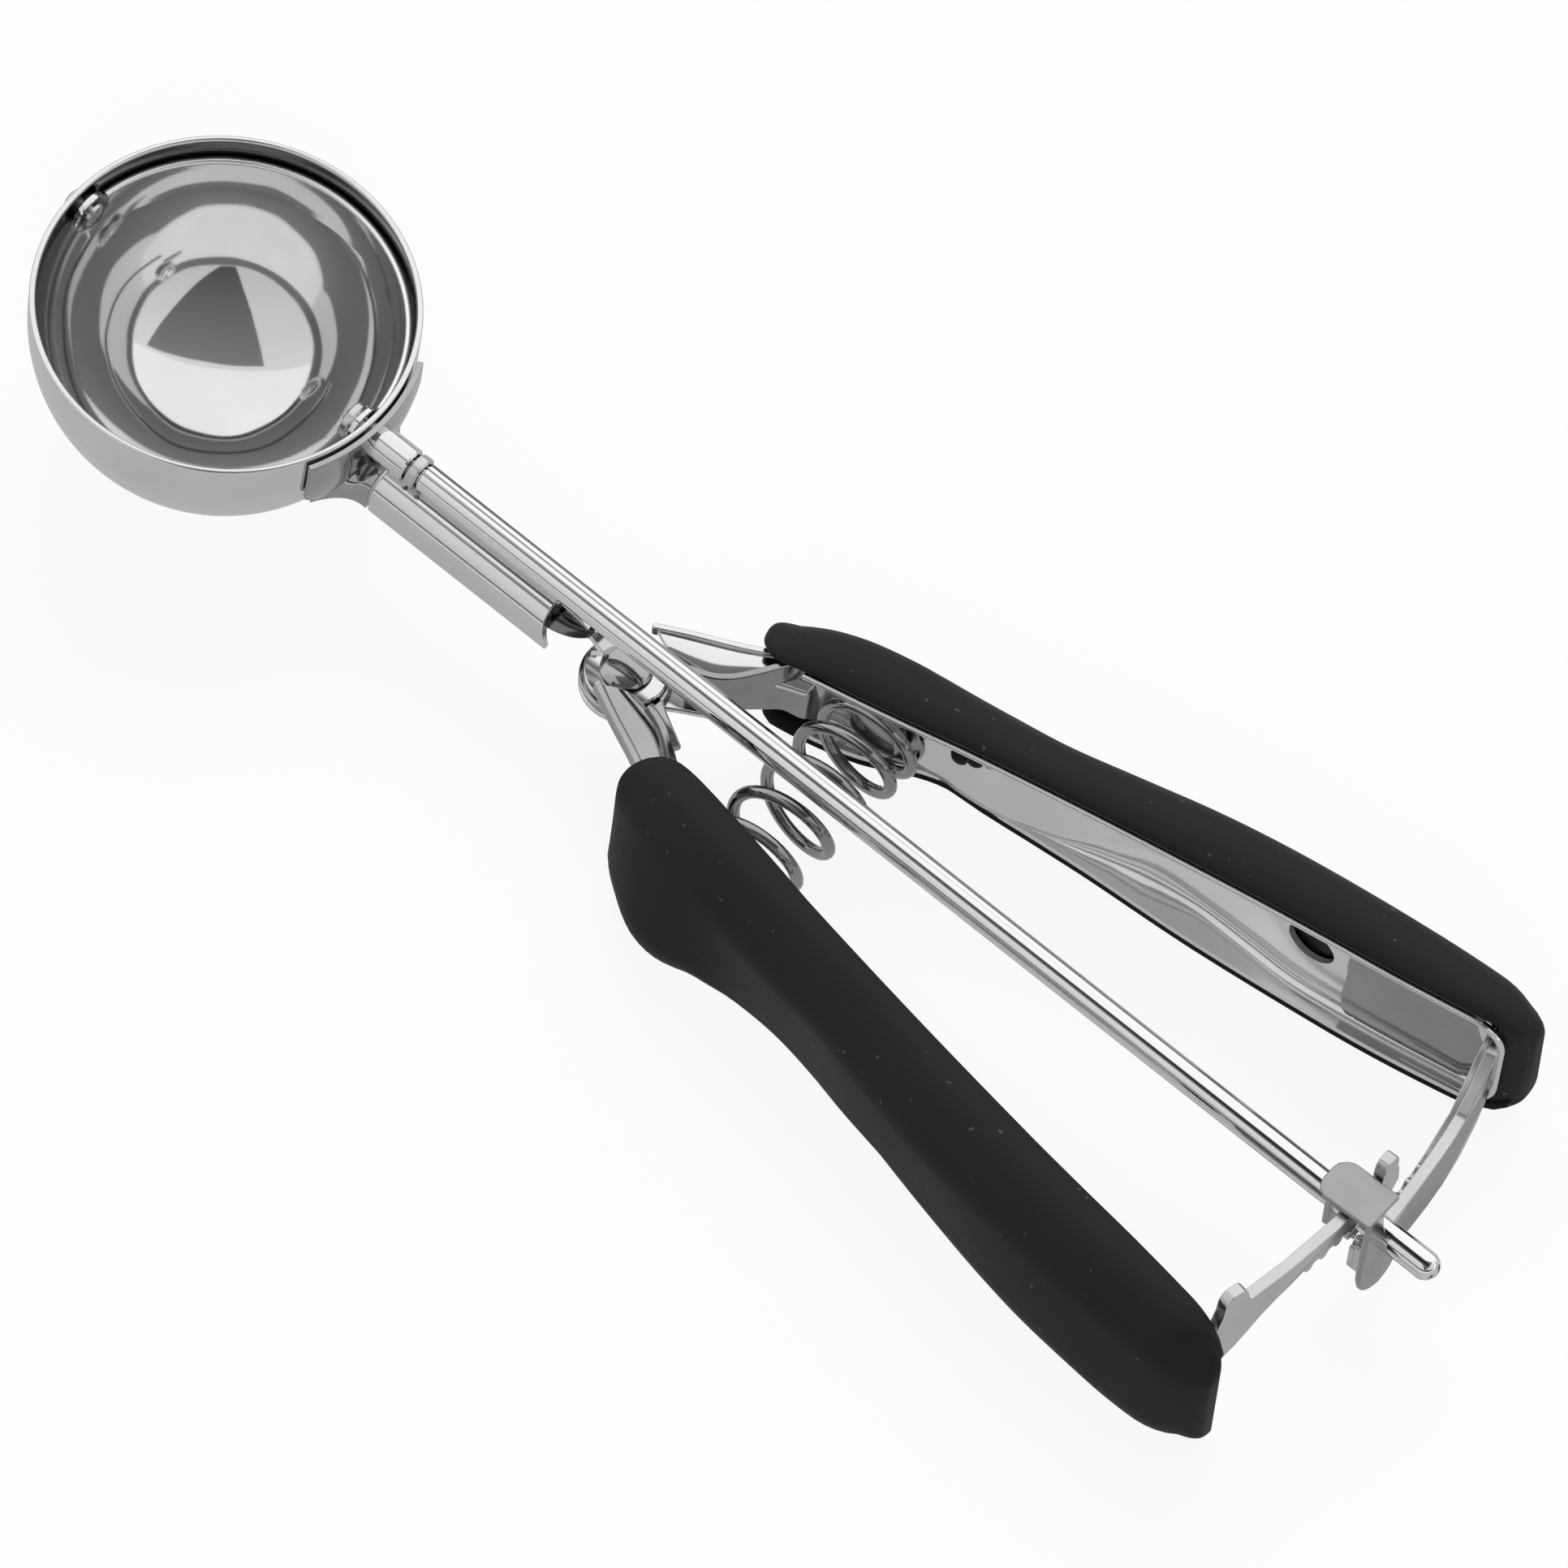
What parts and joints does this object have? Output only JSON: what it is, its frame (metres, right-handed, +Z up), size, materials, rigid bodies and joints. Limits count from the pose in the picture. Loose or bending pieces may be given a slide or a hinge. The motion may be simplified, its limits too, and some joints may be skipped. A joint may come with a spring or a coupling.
{
  "type": "ice cream scoop",
  "caption": "Hand-held ice cream scoop: round steel bowl with a sweeping wiper blade, driven through a rod by a rack and pinion when its sprung rubber handles are squeezed.",
  "frame": {"origin": "middle of the scoop's plan box, on the plane it lies on", "axes": "+X from the bowl towards the handle ends, +Z up out of the bowl's mouth, +Y towards the right handle"},
  "size_m": [0.2244, 0.0734, 0.0306],
  "materials": {
    "mirror_steel": "mirror-polished stainless steel",
    "bright_steel": "polished stainless steel",
    "satin_steel": "satin stainless steel",
    "spring_steel": "drawn spring wire",
    "grip_rubber": "matte soft rubber"
  },
  "bodies": {
    "frame": {"bowl": "mirror_steel", "collar": "mirror_steel", "shank": "bright_steel", "front_bush": "satin_steel", "wiper_far_pin": "satin_steel", "pivot_rivet": "bright_steel", "pivot_washer": "satin_steel", "pivot_rivet_foot": "satin_steel", "gear_cover": "satin_steel", "coil_spring": "spring_steel"},
    "wiper_shaft": {"rod": "bright_steel", "rod_stop_ring": "satin_steel", "wiper_hub": "satin_steel", "wiper_blade": "mirror_steel", "pinion": "satin_steel"},
    "left_handle": {"left_handle_core": "bright_steel", "left_grip": "grip_rubber", "left_rack": "satin_steel", "left_spring_seat": "satin_steel"},
    "right_handle": {"right_handle_core": "bright_steel", "right_grip": "grip_rubber", "right_rack": "satin_steel", "right_spring_seat": "satin_steel"}
  },
  "joints": [
    {"name": "left_squeeze", "type": "hinge", "parent": "frame", "child": "left_handle", "pos_m": [-0.01838, 0, 0.0114], "axis": [0, 0, 1], "range_deg": [0, 5], "stiffness_Nm_per_rad": 2, "springref_deg": -8.59, "deforming": ["coil_spring"]},
    {"name": "right_squeeze", "type": "hinge", "parent": "frame", "child": "right_handle", "pos_m": [-0.01838, 0, 0.0101], "axis": [0, 0, 1], "range_deg": [-5, 0]},
    {"name": "wiper_turn", "type": "hinge", "parent": "frame", "child": "wiper_shaft", "pos_m": [-0.08558, 0, 0.02498], "axis": [0.998, 0, -0.0634], "range_deg": [-165, 0]}
  ],
  "couplings": [
    {"joint": "right_squeeze", "follows": "left_squeeze", "ratio": -1},
    {"joint": "wiper_turn", "follows": "left_squeeze", "ratio": -33}
  ]
}
